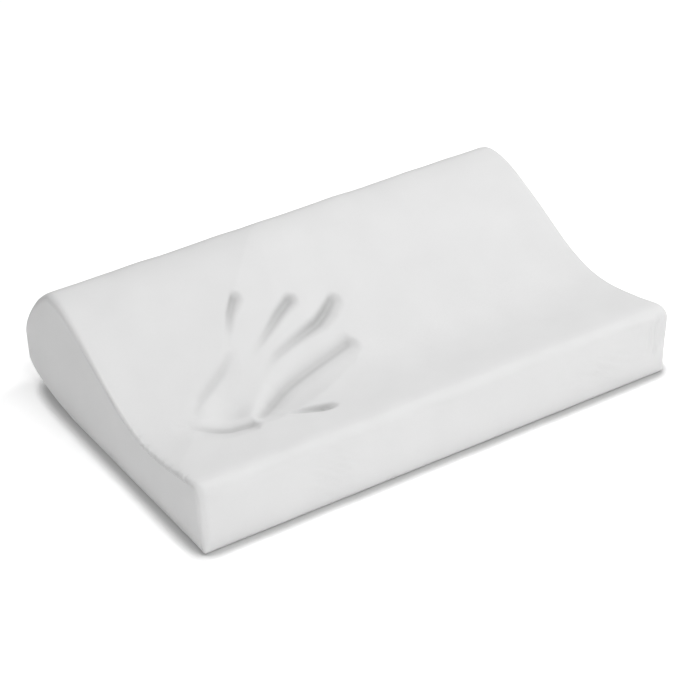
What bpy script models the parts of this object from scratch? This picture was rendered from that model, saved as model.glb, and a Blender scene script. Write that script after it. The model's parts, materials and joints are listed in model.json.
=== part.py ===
"""Contoured memory-foam bed pillow in a zipped fitted cover.

Run with: blender --background --python part.py
Metres, +Z up. X runs along the length, -Y is the low front edge, +Y the high rear roll.
The origin is the middle of the underside of the whole object.
"""

import math

import bmesh
import bpy

# Driving dimensions of the finished pillow, measured over the cover
LENGTH = 0.500
DEPTH = 0.350
HUMP_HEIGHT = 0.126
FRONT_HEIGHT = 0.069
VALLEY_HEIGHT = 0.058
CREST_SETBACK = 0.072  # rear face to the top of the hump
VALLEY_SETBACK = 0.100  # front face to the lowest line of the top
LOBE_SETBACK = 0.013  # front face to the top of the front lobe
HEEL_RUN = 0.115  # rear face to where the underside leaves the ground
FRONT_TOP_RADIUS = 0.011
FRONT_BASE_RADIUS = 0.004

# Handle lengths of the curves between those points
CREST_REAR_PULL = 0.022
CREST_PULL = 0.055
VALLEY_REAR_PULL = 0.060
VALLEY_FRONT_PULL = 0.035
LOBE_PULL = 0.012
REAR_PULL = 0.018
HEEL_PULL = 0.020
BASE_PULL = 0.060

# Layers, from the outside in
CLEARANCE = 0.0003  # between any two neighbouring pieces
COVER_THICKNESS = 0.0010
LINER_THICKNESS = 0.0004
SEAM_THREAD_RADIUS = 0.0004
SEAM_GAP = 2 * (SEAM_THREAD_RADIUS + CLEARANCE)
SEAM_RECESS = 0.0001  # thread below the cloth's face

# Zip fastener, on a flat band of the rear face
ZIP_HEIGHT = 0.042  # middle of the zip above the ground
ZIP_BAND = 0.026  # height of the flat band
ZIP_END_SEAM = 0.045  # plain seam between each end of the pillow and the zip
WINDOW_HEIGHT = 0.0092  # height of cloth left open for the coil
TAPE_WIDTH = 0.01185
TAPE_THICKNESS = 0.00055
TAPE_TAIL = 0.006  # tape past each end of the window
COIL_WIDTH = 0.0020
COIL_HEIGHT = 0.0019
COIL_MARGIN = 0.006  # window's end to the coil's end
COIL_PLAY = 0.00005  # room between the coil and the slider's rib, beyond the clearance
BAND_STEP = 0.0065  # zip's middle to the row where the padding starts to give way
TOP_STOP_LENGTH = 0.0025
BOTTOM_STOP_LENGTH = 0.0035
STITCH_OFFSET = 0.008  # zip's middle to each row of stitching
STITCH_RADIUS = 0.0003

# Slider and pull tab
SLIDER_LENGTH = 0.009
SLIDER_WALL = 0.0009
SLIDER_RIB = 0.0006
SLIDER_WAIST = 0.86  # width of the slider's narrow end, as a share
BRIDGE_LENGTH = 0.0042
BRIDGE_WALL = 0.00075
BRIDGE_WIDTH = 0.0012
BRIDGE_ROOT = 0.0003  # depth that the bridge is let into the slider
TAB_LENGTH = 0.022
TAB_WIDTH = 0.0052
TAB_THICKNESS = 0.0009
TAB_WINDOW_LENGTH = 0.0036
TAB_WINDOW_WIDTH = 0.0028
TAB_EDGE = 0.00015

# Care label, sewn in beside the zip
LABEL_WIDTH = 0.022
LABEL_LENGTH = 0.028
LABEL_THICKNESS = 0.0004
LABEL_FROM_ZIP = 0.010

# Steps in each curved stretch of the side profile
HEEL_STEPS = 9
REAR_STEPS = 10
SLOPE_STEPS = 16
LOBE_STEPS = 8
CORNER_STEPS = 5

# What follows from them
ZIP_WINDOW = LENGTH - 2 * ZIP_END_SEAM  # length of the opening that the zip closes
LINER_DEPTH = COVER_THICKNESS + CLEARANCE
TAPE_FACE = COVER_THICKNESS + CLEARANCE  # depth of the tape's outer face
TAPE_BACK = TAPE_FACE + TAPE_THICKNESS
COIL_TOP = COIL_HEIGHT - COVER_THICKNESS  # height of the coil over the cloth
SLIDER_ROOF = COIL_TOP + CLEARANCE + SLIDER_WALL
PLATE_BACK = TAPE_BACK + CLEARANCE + SLIDER_WALL
CHANNEL_DENT = PLATE_BACK + CLEARANCE - LINER_DEPTH
TAPE_DENT = TAPE_BACK + CLEARANCE - LINER_DEPTH
BAR_SWEEP = 0.75 * TAB_THICKNESS  # half the diagonal of the tab's square bar, and a little more
HINGE_RISE = SLIDER_ROOF + CLEARANCE + BAR_SWEEP
BRIDGE_INSIDE = HINGE_RISE + CLEARANCE + BAR_SWEEP
ZIP_PROUD = BRIDGE_INSIDE + BRIDGE_WALL  # how far the slider stands out
FRONT_Y = -(DEPTH + ZIP_PROUD) / 2
REAR_Y = FRONT_Y + DEPTH
HALF_LENGTH = LENGTH / 2
WRAP_HALF = HALF_LENGTH - COVER_THICKNESS - SEAM_GAP
COIL_INNER = SLIDER_RIB / 2 + CLEARANCE + COIL_PLAY
COIL_OUTER = COIL_INNER + COIL_WIDTH
COIL_HALF = ZIP_WINDOW / 2 - COIL_MARGIN
SLIDER_INNER = COIL_OUTER + CLEARANCE
SLIDER_HALF_WIDTH = (SLIDER_INNER + SLIDER_WALL / 2) / SLIDER_WAIST
SLIDER_X = -COIL_HALF + SLIDER_LENGTH / 2


def clear_scene():
    for obj in list(bpy.data.objects):
        bpy.data.objects.remove(obj, do_unlink=True)


def material(name, colour, roughness, metallic=0.0):
    made = bpy.data.materials.new(name)
    made.use_nodes = True
    shader = made.node_tree.nodes["Principled BSDF"]
    shader.inputs["Base Color"].default_value = (*colour, 1.0)
    shader.inputs["Roughness"].default_value = roughness
    shader.inputs["Metallic"].default_value = metallic
    made.diffuse_color = (*colour, 1.0)
    return made


def finish(bm, name, surface, smooth_angle=None):
    bmesh.ops.recalc_face_normals(bm, faces=bm.faces)
    mesh = bpy.data.meshes.new(name)
    bm.to_mesh(mesh)
    bm.free()
    mesh.materials.append(surface)
    if smooth_angle:
        mesh.shade_smooth()
        mesh.set_sharp_from_angle(angle=smooth_angle)
    obj = bpy.data.objects.new(name, mesh)
    bpy.context.scene.collection.objects.link(obj)
    return obj


# ---- Side profile ----------------------------------------------------------


def bezier(start, start_handle, end_handle, end, steps):
    points = []
    for i in range(1, steps + 1):
        t = i / steps
        weights = ((1 - t) ** 3, 3 * t * (1 - t) ** 2, 3 * t * t * (1 - t), t**3)
        corners = (start, start_handle, end_handle, end)
        points.append(tuple(sum(w * c[k] for w, c in zip(weights, corners)) for k in (0, 1)))
    return points


def arc(centre, radius, first_angle, last_angle, steps):
    turn = (last_angle - first_angle) / steps
    angles = [first_angle + turn * i for i in range(1, steps + 1)]
    return [(centre[0] + radius * math.cos(a), centre[1] + radius * math.sin(a)) for a in angles]


def profile_outline():
    """Points (y, z) of the side profile: rearwards along the underside, up the rear, over the top."""
    base_start = (FRONT_Y + FRONT_BASE_RADIUS + SEAM_GAP, 0.0)
    heel = (REAR_Y - HEEL_RUN, 0.0)
    band_low = (REAR_Y, ZIP_HEIGHT - ZIP_BAND / 2)
    band_high = (REAR_Y, ZIP_HEIGHT + ZIP_BAND / 2)
    crest = (REAR_Y - CREST_SETBACK, HUMP_HEIGHT)
    valley = (FRONT_Y + VALLEY_SETBACK, VALLEY_HEIGHT)
    lobe = (FRONT_Y + LOBE_SETBACK, FRONT_HEIGHT)
    top_centre = (FRONT_Y + FRONT_TOP_RADIUS, FRONT_HEIGHT - FRONT_TOP_RADIUS)
    base_centre = (FRONT_Y + FRONT_BASE_RADIUS, FRONT_BASE_RADIUS)

    points = [base_start, heel]
    points += bezier(
        heel,
        (heel[0] + BASE_PULL, 0.0),
        (REAR_Y, band_low[1] - HEEL_PULL),
        band_low,
        HEEL_STEPS,
    )
    steps_on_band = (BAND_STEP, WINDOW_HEIGHT / 2, SEAM_GAP / 2)
    points += [(REAR_Y, ZIP_HEIGHT - step) for step in steps_on_band]
    points += [(REAR_Y, ZIP_HEIGHT + step) for step in reversed(steps_on_band)]
    points.append(band_high)
    points += bezier(
        band_high,
        (REAR_Y, band_high[1] + REAR_PULL),
        (crest[0] + CREST_REAR_PULL, HUMP_HEIGHT),
        crest,
        REAR_STEPS,
    )
    points += bezier(
        crest,
        (crest[0] - CREST_PULL, HUMP_HEIGHT),
        (valley[0] + VALLEY_REAR_PULL, VALLEY_HEIGHT),
        valley,
        SLOPE_STEPS,
    )
    points += bezier(
        valley,
        (valley[0] - VALLEY_FRONT_PULL, VALLEY_HEIGHT),
        (lobe[0] + LOBE_PULL, FRONT_HEIGHT),
        lobe,
        LOBE_STEPS,
    )
    points.append((top_centre[0], FRONT_HEIGHT))
    points += arc(top_centre, FRONT_TOP_RADIUS, math.pi / 2, math.pi, CORNER_STEPS)
    points.append((FRONT_Y, FRONT_BASE_RADIUS))
    points += arc(base_centre, FRONT_BASE_RADIUS, math.pi, 1.5 * math.pi, CORNER_STEPS)
    return points


def outward_steps(points):
    """For each point, the step that moves it outward by one unit of distance from both its edges."""
    steps = []
    for i, point in enumerate(points):
        before, after = points[i - 1], points[(i + 1) % len(points)]
        normals = []
        for a, b in ((before, point), (point, after)):
            run, rise = b[0] - a[0], b[1] - a[1]
            size = math.hypot(run, rise)
            normals.append((rise / size, -run / size))
        total = (normals[0][0] + normals[1][0], normals[0][1] + normals[1][1])
        scale = 2 / (total[0] ** 2 + total[1] ** 2)
        steps.append((total[0] * scale, total[1] * scale))
    return steps


OUTLINE = profile_outline()
OUTWARD = outward_steps(OUTLINE)
# The two rows at the middle of the zip, where the base panel ends and the top panel starts
BASE_END = next(i for i, p in enumerate(OUTLINE) if p[0] == REAR_Y and p[1] > ZIP_HEIGHT) - 1
TOP_START = BASE_END + 1


def inset(depth):
    """The outline at this depth below the cover's face."""
    return [(p[0] - n[0] * depth, p[1] - n[1] * depth) for p, n in zip(OUTLINE, OUTWARD)]


def zip_dent(point):
    """Extra depth where the padding gives way behind the zip."""
    off_middle = abs(point[1] - ZIP_HEIGHT)
    if point[0] < REAR_Y - CLEARANCE or off_middle > ZIP_BAND / 2 + CLEARANCE:
        return 0.0
    return CHANNEL_DENT if off_middle <= WINDOW_HEIGHT / 2 + CLEARANCE else TAPE_DENT


def inset_behind_zip(depth):
    """The same outline for a layer that passes behind the zip."""
    rows = zip(OUTLINE, OUTWARD)
    return [
        (p[0] - n[0] * (depth + zip_dent(p)), p[1] - n[1] * (depth + zip_dent(p)))
        for p, n in rows
    ]


# ---- Solids from the profile -----------------------------------------------


def extrude(corners, step):
    """A solid from a closed outline of 3-D points, moved along a step."""
    bm = bmesh.new()
    face = bm.faces.new([bm.verts.new(corner) for corner in corners])
    pushed = bmesh.ops.extrude_face_region(bm, geom=[face])
    moved = [v for v in pushed["geom"] if isinstance(v, bmesh.types.BMVert)]
    bmesh.ops.translate(bm, verts=moved, vec=step)
    return bm


def plate(name, outline, x_from, x_to, surface):
    """A closed outline in the YZ plane, given thickness along X."""
    bm = extrude([(x_from, y, z) for y, z in outline], (x_to - x_from, 0, 0))
    return finish(bm, name, surface, math.radians(30))


def skin(name, outer, inner, stations, surface, closed=False, open_cells=()):
    """A skin between two matching profiles, from station to station along X, less some cells."""
    bm = bmesh.new()
    rows, columns = len(outer), len(stations)
    grids = []
    for outline in (outer, inner):
        grids.append([[bm.verts.new((x, y, z)) for x in stations] for y, z in outline])
    spans = [(i, (i + 1) % rows) for i in range(rows if closed else rows - 1)]
    cells = {
        (i, k, j)
        for i, k in spans
        for j in range(columns - 1)
        if (i, j) not in open_cells
    }
    sides = {}
    for i, k, j in cells:
        corners = ((i, j), (i, j + 1), (k, j + 1), (k, j))
        for grid, order in zip(grids, (corners, corners[::-1])):
            bm.faces.new([grid[row][column] for row, column in order])
        for a, b in zip(corners, corners[1:] + corners[:1]):
            key = frozenset((a, b))
            sides[key] = None if key in sides else (a, b)
    for edge in filter(None, sides.values()):
        (ai, aj), (bi, bj) = edge
        bm.faces.new((grids[0][bi][bj], grids[0][ai][aj], grids[1][ai][aj], grids[1][bi][bj]))
    loose = [v for v in bm.verts if not v.link_faces]
    bmesh.ops.delete(bm, geom=loose, context="VERTS")
    return finish(bm, name, surface, math.radians(30))


def block(name, x, y, z, surface):
    """A rectangular bar from (low, high) pairs."""
    outline = ((y[0], z[0]), (y[1], z[0]), (y[1], z[1]), (y[0], z[1]))
    return plate(name, outline, x[0], x[1], surface)


def thread(name, points, radius, surface, cyclic=False):
    """A sewing thread laid along points."""
    curve = bpy.data.curves.new(name, "CURVE")
    curve.dimensions = "3D"
    curve.bevel_depth = radius
    curve.bevel_resolution = 1
    curve.use_fill_caps = not cyclic
    spline = curve.splines.new("POLY")
    spline.points.add(len(points) - 1)
    for target, point in zip(spline.points, points):
        target.co = (*point, 1.0)
    spline.use_cyclic_u = cyclic
    curve.materials.append(surface)
    obj = bpy.data.objects.new(name, curve)
    bpy.context.scene.collection.objects.link(obj)
    return obj


# ---- Sub-parts -------------------------------------------------------------


def make_foam_core(surface):
    reach = HALF_LENGTH - LINER_DEPTH - LINER_THICKNESS - CLEARANCE
    outline = inset_behind_zip(LINER_DEPTH + LINER_THICKNESS + CLEARANCE)
    plate("foam_core", outline, -reach, reach, surface)


def make_liner(surface):
    reach = HALF_LENGTH - LINER_DEPTH - LINER_THICKNESS - CLEARANCE
    outer = inset_behind_zip(LINER_DEPTH)
    inner = inset_behind_zip(LINER_DEPTH + LINER_THICKNESS)
    skin("liner_wrap", outer, inner, (-reach, reach), surface, closed=True)
    for side, name in ((-1, "liner_end_left"), (1, "liner_end_right")):
        outside = side * (HALF_LENGTH - LINER_DEPTH)
        plate(name, outer, outside, outside - side * LINER_THICKNESS, surface)


def make_cover(surface):
    outer, inner = inset(0.0), inset(COVER_THICKNESS)
    half_window = ZIP_WINDOW / 2
    stations = (-WRAP_HALF, -half_window, half_window, WRAP_HALF)
    base_rows = slice(0, BASE_END + 1)
    top_rows = slice(TOP_START, None)
    # The cell next to the zip's middle, in the middle column, is the opening
    skin(
        "cover_base_panel",
        outer[base_rows],
        inner[base_rows],
        stations,
        surface,
        open_cells={(BASE_END - 1, 1)},
    )
    skin(
        "cover_top_panel",
        outer[top_rows],
        inner[top_rows],
        stations,
        surface,
        open_cells={(0, 1)},
    )
    for side, name in ((-1, "cover_end_left"), (1, "cover_end_right")):
        outside = side * HALF_LENGTH
        plate(name, outer, outside, outside - side * COVER_THICKNESS, surface)


def make_seams(surface):
    sunk = SEAM_RECESS + SEAM_THREAD_RADIUS
    ring = inset(sunk)
    for side, name in ((-1, "end_seam_left"), (1, "end_seam_right")):
        x = side * (WRAP_HALF + SEAM_GAP / 2)
        points = [(x, y, z) for y, z in ring]
        thread(name, points, SEAM_THREAD_RADIUS, surface, cyclic=True)
    front_y = FRONT_Y + FRONT_BASE_RADIUS + SEAM_GAP / 2
    reach = WRAP_HALF - CLEARANCE
    ends = [(-reach, front_y, sunk), (reach, front_y, sunk)]
    thread("front_seam", ends, SEAM_THREAD_RADIUS, surface)
    for side, name in ((-1, "rear_seam_left"), (1, "rear_seam_right")):
        ends = [
            (side * x, REAR_Y - sunk, ZIP_HEIGHT)
            for x in (ZIP_WINDOW / 2 + CLEARANCE, reach)
        ]
        thread(name, ends, SEAM_THREAD_RADIUS, surface)


def make_zip(tape, coil, metal, stitching):
    tape_x = (-ZIP_WINDOW / 2 - TAPE_TAIL, ZIP_WINDOW / 2 + TAPE_TAIL)
    tape_y = (REAR_Y - TAPE_BACK, REAR_Y - TAPE_FACE)
    coil_y = (REAR_Y - COVER_THICKNESS, REAR_Y + COIL_TOP)
    for side, word in ((1, "upper"), (-1, "lower")):
        inner, outer, edge = (
            ZIP_HEIGHT + side * off for off in (COIL_INNER, COIL_OUTER, COIL_INNER + TAPE_WIDTH)
        )
        block(f"zip_tape_{word}", tape_x, tape_y, sorted((inner, edge)), tape)
        rows = sorted((inner, outer))
        block(f"zip_coil_{word}", (-COIL_HALF, COIL_HALF), coil_y, rows, coil)
        stop_x = (-COIL_HALF - CLEARANCE - TOP_STOP_LENGTH, -COIL_HALF - CLEARANCE)
        block(f"zip_top_stop_{word}", stop_x, coil_y, rows, metal)
        seat = REAR_Y + CLEARANCE + STITCH_RADIUS
        line = [(x, seat, ZIP_HEIGHT + side * STITCH_OFFSET) for x in tape_x]
        thread(f"zip_stitching_{word}", line, STITCH_RADIUS, stitching)
    box_x = (COIL_HALF + CLEARANCE, COIL_HALF + CLEARANCE + BOTTOM_STOP_LENGTH)
    box_z = (ZIP_HEIGHT - COIL_OUTER, ZIP_HEIGHT + COIL_OUTER)
    block("zip_bottom_stop", box_x, coil_y, box_z, metal)


def slider_section():
    """Section of the slider across the zip, as (height over the cloth, distance from the middle)."""
    roof, ceiling = SLIDER_ROOF, SLIDER_ROOF - SLIDER_WALL
    flange_end = CLEARANCE - TAPE_FACE
    floor, plate_back = -TAPE_BACK - CLEARANCE, -PLATE_BACK
    half, rib = SLIDER_HALF_WIDTH, SLIDER_RIB / 2
    inside = SLIDER_INNER / SLIDER_WAIST
    right = [
        (roof, half),
        (flange_end, half),
        (flange_end, inside),
        (ceiling, inside),
        (ceiling, rib),
        (floor, rib),
        (floor, half),
        (plate_back, half),
    ]
    return right + [(rise, -out) for rise, out in reversed(right)]


def make_bridge(surface):
    """The arch that holds the pull tab. It is let into the slider's roof."""
    outer_half, inner_half = BRIDGE_LENGTH / 2, BRIDGE_LENGTH / 2 - BRIDGE_WALL
    spring_line = BRIDGE_INSIDE - inner_half / 2
    foot = SLIDER_ROOF - BRIDGE_ROOT
    outline = [(outer_half, foot)]
    for half, order in ((outer_half, range(9)), (inner_half, reversed(range(9)))):
        rise = (ZIP_PROUD if half == outer_half else BRIDGE_INSIDE) - spring_line
        angles = [math.pi * i / 8 for i in order]
        outline += [(half * math.cos(a), spring_line + rise * math.sin(a)) for a in angles]
        if half == outer_half:
            outline += [(-outer_half, foot), (-inner_half, foot)]
    outline.append((inner_half, foot))
    low = ZIP_HEIGHT - BRIDGE_WIDTH / 2
    corners = [(SLIDER_X + x, REAR_Y + y, low) for x, y in outline]
    bridge = finish(extrude(corners, (0, 0, BRIDGE_WIDTH)), "slider_bridge_guide", surface)
    bridge.hide_render = True
    bridge.display_type = "WIRE"
    return bridge


def make_slider(surface):
    bm = bmesh.new()
    section = slider_section()
    front = SLIDER_X - SLIDER_LENGTH / 2
    waist_x = SLIDER_X + SLIDER_LENGTH / 2
    rings = []
    for x, share in ((front, 1.0), (SLIDER_X, 1.0), (waist_x, SLIDER_WAIST)):
        ring = []
        for rise, out in section:
            width = out if abs(out) <= SLIDER_RIB / 2 else out * share
            ring.append(bm.verts.new((x, REAR_Y + rise, ZIP_HEIGHT + width)))
        rings.append(ring)
    count = len(section)
    for near, far in zip(rings, rings[1:]):
        for i in range(count):
            k = (i + 1) % count
            bm.faces.new((near[i], near[k], far[k], far[i]))
    bm.faces.new(rings[0])
    bm.faces.new(rings[-1][::-1])
    slider = finish(bm, "zip_slider", surface)
    union = slider.modifiers.new("bridge", "BOOLEAN")
    union.operation = "UNION"
    union.object = make_bridge(surface)


def make_pull_tab(surface):
    """A flat tab with a window: the bar at its near end lies in the slider's bridge."""
    hinge = bpy.data.objects.new("pull_tab_hinge", None)
    hinge.location = (SLIDER_X, REAR_Y + HINGE_RISE, ZIP_HEIGHT)
    bpy.context.scene.collection.objects.link(hinge)
    bar = TAB_THICKNESS / 2
    radius = TAB_WIDTH / 2
    outline = [(-bar, -radius), (-bar, radius)]
    tip = TAB_LENGTH - radius
    outline += [
        (tip + radius * math.cos(a), radius * math.sin(a))
        for a in (math.pi / 2 - math.pi * i / 10 for i in range(11))
    ]
    tab = finish(extrude([(x, -bar, z) for x, z in outline], (0, TAB_THICKNESS, 0)), "pull_tab", surface)
    window = block(
        "pull_tab_window_guide",
        (bar, bar + TAB_WINDOW_LENGTH),
        (-TAB_THICKNESS, TAB_THICKNESS),
        (-TAB_WINDOW_WIDTH / 2, TAB_WINDOW_WIDTH / 2),
        surface,
    )
    window.hide_render = True
    window.display_type = "WIRE"
    for obj in (tab, window):
        obj.parent = hinge
    cut = tab.modifiers.new("window", "BOOLEAN")
    cut.operation = "DIFFERENCE"
    cut.object = window
    soften = tab.modifiers.new("edges", "BEVEL")
    soften.width = TAB_EDGE
    soften.segments = 1


def make_care_label(surface):
    left = ZIP_WINDOW / 2 + LABEL_FROM_ZIP
    block(
        "care_label",
        (left, left + LABEL_WIDTH),
        (REAR_Y + CLEARANCE, REAR_Y + CLEARANCE + LABEL_THICKNESS),
        (ZIP_HEIGHT - LABEL_LENGTH, ZIP_HEIGHT),
        surface,
    )


def main():
    clear_scene()
    foam = material("moulded_memory_foam", (0.86, 0.83, 0.74), 0.85)
    liner = material("liner_jersey", (0.88, 0.88, 0.87), 0.9)
    cover = material("cover_knit", (0.87, 0.87, 0.86), 0.8)
    sewing = material("sewing_thread", (0.84, 0.84, 0.83), 0.6)
    tape = material("zip_tape", (0.85, 0.85, 0.84), 0.8)
    coil = material("zip_coil_nylon", (0.86, 0.86, 0.85), 0.4)
    metal = material("zip_metal", (0.72, 0.72, 0.72), 0.3, 1.0)
    label = material("label_satin", (0.9, 0.9, 0.9), 0.5)
    make_foam_core(foam)
    make_liner(liner)
    make_cover(cover)
    make_seams(sewing)
    make_zip(tape, coil, metal, sewing)
    make_slider(metal)
    make_pull_tab(metal)
    make_care_label(label)


main()
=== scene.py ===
import json
import math

import bmesh
import bpy
import numpy as np
from mathutils import Matrix, Vector


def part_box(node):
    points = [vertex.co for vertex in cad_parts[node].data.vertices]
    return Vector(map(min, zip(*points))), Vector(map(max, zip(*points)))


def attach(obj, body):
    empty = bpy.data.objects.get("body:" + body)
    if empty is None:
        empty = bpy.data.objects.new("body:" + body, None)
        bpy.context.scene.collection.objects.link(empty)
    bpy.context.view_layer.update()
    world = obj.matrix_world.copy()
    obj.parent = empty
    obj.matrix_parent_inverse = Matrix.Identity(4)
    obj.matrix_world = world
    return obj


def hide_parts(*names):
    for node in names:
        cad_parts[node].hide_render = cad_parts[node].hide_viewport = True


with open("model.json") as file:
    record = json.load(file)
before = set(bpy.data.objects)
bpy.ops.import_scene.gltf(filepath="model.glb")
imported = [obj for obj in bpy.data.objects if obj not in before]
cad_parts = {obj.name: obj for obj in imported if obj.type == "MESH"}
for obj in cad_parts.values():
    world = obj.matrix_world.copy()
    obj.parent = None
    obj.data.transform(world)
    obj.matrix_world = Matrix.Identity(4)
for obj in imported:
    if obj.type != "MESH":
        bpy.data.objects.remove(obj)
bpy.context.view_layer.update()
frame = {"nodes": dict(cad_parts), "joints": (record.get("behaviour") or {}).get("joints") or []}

mm = 0.001
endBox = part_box("cover_end_left")
frontY, rearY = endBox[0].y, endBox[1].y
halfLength = -endBox[0].x
print("frame loaded,", len(frame["nodes"]), "CAD nodes")

# The camera stands to the left of the front, a little above.
cameraLook = {
    "azimuth": -30.4,  # degrees round from the front
    "elevation": 32.0,
    "roll": 3.1,
    "distance": 2.2095,
    "target": (-0.0069, frontY + 0.1492, 0.0436),
    "lens": 120.7,  # mm, on a 36 mm sensor
}

# A white sweep in a soft box: most light comes from above the front and from the right.
studio = {
    "floorSize": 14.0,
    "floorColour": "#fafafa",
    "floorGlow": 0.34,
    "contactReach": 0.0155,  # how far the painted shadow under the pillow's edge spreads
    "contactDepth": 1.7,
    "contactLeast": 0.42,
    "floorDrop": 0.0006,
    "skyStrength": 0.16,
    "aim": (0, 0, 0.05),
    "lights": {  # place in metres, side of the square, watts
        "frontTopSoftbox": ((0.15, -1.5, 2.3), 1.6, 40),
        "rightTopSoftbox": ((2.7, 0.4, 3.0), 1.6, 48),
        "topSoftbox": ((0.0, 0.2, 2.6), 2.2, 12.5),
        "leftSoftbox": ((-2.1, -0.8, 1.7), 1.6, 5.6),
        "rearFill": ((0.2, 2.2, 2.0), 1.6, 0.8),
    },
}


# Linear red, green, blue and alpha of an sRGB hex colour.
def rgba(text):
    parts = [int(text[i : i + 2], 16) / 255 for i in (1, 3, 5)]
    return (*(c / 12.92 if c <= 0.04045 else ((c + 0.055) / 1.055) ** 2.4 for c in parts), 1)


# Adds a node and gives back one of its outputs. An input is a value, or another node's output to link.
def addNode(tree, kind, inputs, output=0, **settings):
    node = tree.nodes.new("ShaderNode" + kind)
    for key, value in settings.items():
        setattr(node, key, value)
    for key, value in inputs.items():
        if isinstance(value, bpy.types.NodeSocket):
            tree.links.new(value, node.inputs[key])
        else:
            node.inputs[key].default_value = value
    return node.outputs[output]


def newMaterial(name, colour, roughness, **sockets):
    material = bpy.data.materials.new(name)
    material.use_nodes = True
    tree = material.node_tree
    shader = tree.nodes["Principled BSDF"]
    shader.inputs["Base Color"].default_value = rgba(colour)
    shader.inputs["Roughness"].default_value = roughness
    for key, value in sockets.items():
        shader.inputs[key].default_value = value
    return material, tree, shader


def addToScene(obj):
    bpy.context.scene.collection.objects.link(obj)
    return obj


def placeCamera(look):
    turn, tip, roll = (math.radians(look[key]) for key in ("azimuth", "elevation", "roll"))
    ground = Vector((math.sin(turn), -math.cos(turn), 0))
    back = ground * math.cos(tip) + Vector((0, 0, math.sin(tip)))
    right = Vector((0, 0, 1)).cross(back).normalized()
    right = right * math.cos(roll) - back.cross(right) * math.sin(roll)
    data = bpy.data.cameras.new("camera")
    data.lens = look["lens"]
    data.sensor_width = 36
    data.clip_end = 20
    camera = addToScene(bpy.data.objects.new("camera", data))
    axes = Matrix((right, back.cross(right), back)).transposed().to_4x4()
    place = Vector(look["target"]) + back * look["distance"]
    camera.matrix_world = Matrix.Translation(place) @ axes
    bpy.context.scene.camera = camera


# A white floor that glows a little to stay evenly bright, with a painted contact shadow: ambient occlusion
# darkens its colour and glow close to what stands on it.
def litWhiteAcrylic(look):
    material, tree, shader = newMaterial("litWhiteAcrylic", look["floorColour"], 0.9)
    # Painted shadow: the floor's colour and glow are darkened near the pillow.
    near = addNode(tree, "AmbientOcclusion", {"Distance": look["contactReach"]}, "AO", samples=16)
    shade = addNode(tree, "Math", {0: near, 1: look["contactDepth"]}, operation="POWER")
    shade = addNode(tree, "Math", {0: shade, 1: look["contactLeast"]}, operation="MAXIMUM")
    glow = addNode(tree, "Math", {0: shade, 1: look["floorGlow"]}, operation="MULTIPLY")
    colours = {"Factor": shade, "A": (0, 0, 0, 1), "B": rgba(look["floorColour"])}
    white = addNode(tree, "Mix", colours, "Result", data_type="RGBA")
    tree.links.new(white, shader.inputs["Base Color"])
    shader.inputs["Emission Color"].default_value = (1, 1, 1, 1)
    tree.links.new(glow, shader.inputs["Emission Strength"])
    return material


def makeStudio(look):
    world = bpy.data.worlds.new("studioWorld")
    world.use_nodes = True
    background = world.node_tree.nodes["Background"]
    background.inputs["Color"].default_value = (1, 1, 1, 1)
    background.inputs["Strength"].default_value = look["skyStrength"]
    bpy.context.scene.world = world
    side = look["floorSize"] / 2
    mesh = bpy.data.meshes.new("floor")
    corners = [(x * side, y * side, 0) for x, y in ((-1, -1), (1, -1), (1, 1), (-1, 1))]
    mesh.from_pydata(corners, [], [(0, 1, 2, 3)])
    floor = addToScene(bpy.data.objects.new("floor", mesh))
    floor.location.z = -look["floorDrop"]
    mesh.materials.append(litWhiteAcrylic(look))
    for name, (place, size, power) in look["lights"].items():
        data = bpy.data.lights.new(name, "AREA")
        data.shape = "SQUARE"
        data.size = size
        data.energy = power
        light = addToScene(bpy.data.objects.new(name, data))
        light.location = place
        light.rotation_euler = (Vector(look["aim"]) - Vector(place)).to_track_quat("-Z", "Y").to_euler()
    bpy.context.scene.view_settings.view_transform = "Standard"


# The side profile, in metres: an upright rear, a high hump, a long slope, a valley and a low front lobe.
pillowShape = {
    "humpHeight": 0.126,
    "frontHeight": 0.069,
    "valleyHeight": 0.058,
    "crestSetback": 0.072,
    "valleySetback": 0.100,
    "lobeSetback": 0.013,
    "heelRun": 0.115,
    "frontTopRadius": 0.011,
    "frontBaseRadius": 0.004,
    "crestRearPull": 0.022,
    "crestPull": 0.055,
    "valleyRearPull": 0.060,
    "valleyFrontPull": 0.035,
    "lobePull": 0.012,
    "rearPull": 0.018,
    "heelPull": 0.020,
    "basePull": 0.060,
    "zipHeight": 0.042,
    "zipBand": 0.026,
    "windowHeight": 0.0092,
    "zipEndMargin": 0.006,  # coil's end to window's end
}
meshSpacing = {
    "top": 0.0017,
    "sides": 0.0027,
    "base": 0.007,
    "along": 0.0033,
    "alongPrint": 0.0017,
    "printRun": 0.275,  # the hand print reaches this far from the left end
    "foldRun": 0.030,  # and the corner's folds this far from the right end
}
layers = {  # depths under the cloth's face
    "coverThickness": 0.0010,
    "liner": 0.0013,
    "linerThickness": 0.0004,
    "foam": 0.0022,
    "tapeDent": 0.00085,  # liner and foam stand back behind the zip's tapes
    "channelDent": 0.00265,  # and further behind its slider
    "dentBlend": 0.002,  # over this far round the tapes
    "leastRadius": 0.0006,  # an inner layer's edges are never sharper
}
seamLook = {
    "gap": 0.00008,
    "sink": 0.00010,  # how far the cloth's edge turns in
    "reach": 0.00040,
    "threadDepth": 0.00022,
    "hemSink": 0.00045,
    "hemReach": 0.0004,
    "plainFrom": 0.0012,  # the rear seam is fully sunk this far past the zip's window
    "steps": (0.0, 0.0002, 0.0005, 0.0011, 0.0022),
    "turn": math.radians(62),  # where round the soft edge the end seam runs
}


# Rises from 0 to 1 as the value goes from 0 to the given one.
def ramp(value, over=1.0):
    return np.clip(value / over, 0, 1)


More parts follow.
